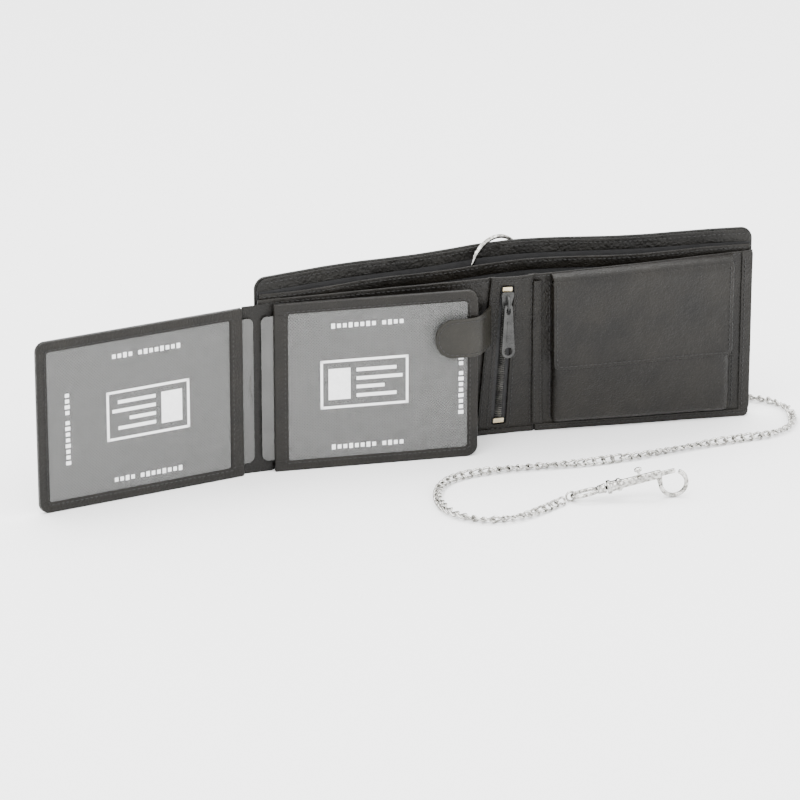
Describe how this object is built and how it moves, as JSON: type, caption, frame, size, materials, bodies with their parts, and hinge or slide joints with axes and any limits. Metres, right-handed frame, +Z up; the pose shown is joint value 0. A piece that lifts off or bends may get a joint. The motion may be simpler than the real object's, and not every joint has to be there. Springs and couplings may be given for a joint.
{
  "type": "chain wallet",
  "caption": "Bifold leather wallet standing open, with note compartments, snap coin pocket, zip pocket, fold-out card windows, latch tab, and a chain with key ring and swivel snap hook.",
  "frame": {"origin": "centre of the spine's foot, on the surface that the wallet stands on, in the middle of the spine leather's thickness from fold line to fold line", "axes": "+X along the open wallet to the right half, -Y towards the open inside, +Z up along the spine"},
  "size_m": [0.3971, 0.1392, 0.1022],
  "materials": {
    "cover_leather": "pebbled, semi-gloss",
    "inner_leather": "smooth grain, satin",
    "tab_leather": "smooth, satin",
    "lining_cloth": "fine plain weave, matte",
    "zip_tape": "ribbed woven tape, matte",
    "window_mesh": "open knitted net under clear film",
    "clear_card": "glossy clear",
    "card_print": "flat white print",
    "thread": "waxed sewing thread",
    "nickel": "polished nickel plate",
    "zip_metal": "worn bright",
    "dark_metal": "black lacquer, satin",
    "brass": "dull"
  },
  "bodies": {
    "spine": {"cover_spine": "cover_leather", "lining_spine": "lining_cloth", "divider_spine": "lining_cloth", "front_panel_spine": "inner_leather", "foot_welt_spine": "cover_leather", "zip_tape_left": "zip_tape", "zip_tape_right": "zip_tape", "zip_pocket_bag": "lining_cloth", "eyelet": "nickel", "chain_ring_end": "nickel"},
    "zip_carriage": {"zip_coil": "zip_metal", "zip_stops": "brass"},
    "left_half": {"cover_left": "cover_leather", "lining_left": "lining_cloth", "divider_left": "lining_cloth", "front_panel_left": "inner_leather", "foot_welt_left": "cover_leather", "flap_edge_welt": "inner_leather"},
    "right_half": {"cover_right": "cover_leather", "lining_right": "lining_cloth", "divider_right": "lining_cloth", "front_panel_right": "inner_leather", "foot_welt_right": "cover_leather", "card_slot_strip": "inner_leather", "coin_pocket": "inner_leather", "coin_pocket_top_welt": "inner_leather", "coin_snap_stud": "nickel"},
    "coin_flap": {"coin_flap": "inner_leather", "coin_snap_cap": "dark_metal"},
    "flap_strip": {"flap_hinge": "inner_leather"},
    "right_leaf": {"right_leaf_back": "cover_leather", "right_leaf_frame": "inner_leather", "right_leaf_mesh": "window_mesh", "right_insert_card": "clear_card"},
    "left_leaf": {"left_leaf_back": "cover_leather", "left_leaf_frame": "inner_leather", "left_leaf_mesh": "window_mesh", "left_insert_card": "clear_card", "leaf_snap_stud": "dark_metal"},
    "latch_tab": {"latch_tab": "tab_leather", "tab_snap_socket": "dark_metal"},
    "zip_slider": {"zip_slider": "dark_metal"},
    "zip_puller": {"zip_puller": "dark_metal"},
    "key_ring": {"split_ring": "nickel"},
    "chain_end": {"chain_hook_end": "nickel", "jump_ring": "nickel", "hook_swivel_eye": "nickel"},
    "hook": {"hook_body": "nickel", "hook_spring": "nickel"},
    "hook_bolt": {"hook_bolt": "nickel"}
  },
  "joints": [
    {"name": "right_fold", "type": "hinge", "parent": "spine", "child": "right_half", "pos_m": [0.011, 0, 0], "axis": [0, 0, 1], "range_deg": [-80, 4], "deforming": ["divider_spine", "divider_left", "divider_right", "front_panel_spine", "front_panel_left", "front_panel_right", "foot_welt_spine", "foot_welt_left", "foot_welt_right", "card_slot_strip", "coin_pocket", "coin_pocket_top_welt", "coin_flap", "coin_snap_stud", "coin_snap_cap", "zip_tape_left", "zip_tape_right", "zip_coil", "zip_stops", "zip_pocket_bag", "latch_tab", "tab_snap_socket", "right_insert_card", "left_insert_card", "chain_ring_end", "chain_hook_end"]},
    {"name": "left_fold", "type": "hinge", "parent": "spine", "child": "left_half", "pos_m": [-0.011, 0, 0], "axis": [0, 0, -1], "range_deg": [-80, 4]},
    {"name": "flap_settle", "type": "hinge", "parent": "left_half", "child": "flap_strip", "pos_m": [-0.1306, -0.0211, 0], "axis": [0, 0, 1], "range_deg": [-2, 14]},
    {"name": "right_leaf_turn", "type": "hinge", "parent": "flap_strip", "child": "right_leaf", "pos_m": [-0.122, -0.02319, 0], "axis": [0, 0, -1], "range_deg": [0, 155]},
    {"name": "left_leaf_turn", "type": "hinge", "parent": "flap_strip", "child": "left_leaf", "pos_m": [-0.138, -0.02361, 0], "axis": [0, 0, -1], "range_deg": [-159, 30]},
    {"name": "tab_turn", "type": "hinge", "parent": "zip_carriage", "child": "latch_tab", "pos_m": [-0.0105, -0.0218, 0.063], "axis": [0, 0, 1], "range_deg": [0, 100]},
    {"name": "coin_flap_lift", "type": "hinge", "parent": "right_half", "child": "coin_flap", "pos_m": [0.06811, -0.02856, 0.0848], "axis": [-0.9998, -0.0218, 0], "range_deg": [0, 150]},
    {"name": "zip_settle", "type": "slide", "parent": "spine", "child": "zip_carriage", "axis": [0.2756, 0.9613, 0], "range_m": [-0.0025, 0.0145]},
    {"name": "zip_slide", "type": "slide", "parent": "zip_carriage", "child": "zip_slider", "axis": [0.0127, 0.1986, -0.98], "range_m": [0, 0.045]},
    {"name": "puller_swing", "type": "hinge", "parent": "zip_slider", "child": "zip_puller", "pos_m": [-0.00191, -0.02435, 0.07212], "axis": [-1, 0, 0], "range_deg": [-11, 150]},
    {"name": "key_ring_swing", "type": "hinge", "parent": "spine", "child": "key_ring", "pos_m": [0, 0, 0], "axis": [0, 0, 1], "range_deg": [-4, 36]},
    {"name": "chain_swing", "type": "hinge", "parent": "spine", "child": "chain_end", "pos_m": [0.149, -0.017, 0], "axis": [0, 0, 1], "range_deg": [-12, 110]},
    {"name": "hook_swivel", "type": "hinge", "parent": "chain_end", "child": "hook", "pos_m": [0.0015, -0.1075, 0.0027], "axis": [0.9584, -0.1863, 0.2164], "continuous": true},
    {"name": "bolt_slide", "type": "slide", "parent": "hook", "child": "hook_bolt", "axis": [-0.9584, 0.1863, -0.2164], "range_m": [0, 0.0045], "stiffness_N_per_m": 150, "springref_m": -0.004, "deforming": ["hook_spring"]}
  ],
  "couplings": [
    {"joint": "left_fold", "follows": "right_fold", "ratio": 1},
    {"joint": "flap_settle", "follows": "right_fold", "ratio": -0.155},
    {"joint": "key_ring_swing", "follows": "right_fold", "ratio": -0.43},
    {"joint": "chain_swing", "follows": "right_fold", "ratio": -1.3},
    {"joint": "zip_settle", "follows": "right_fold", "m_per_rad": -0.0099}
  ]
}
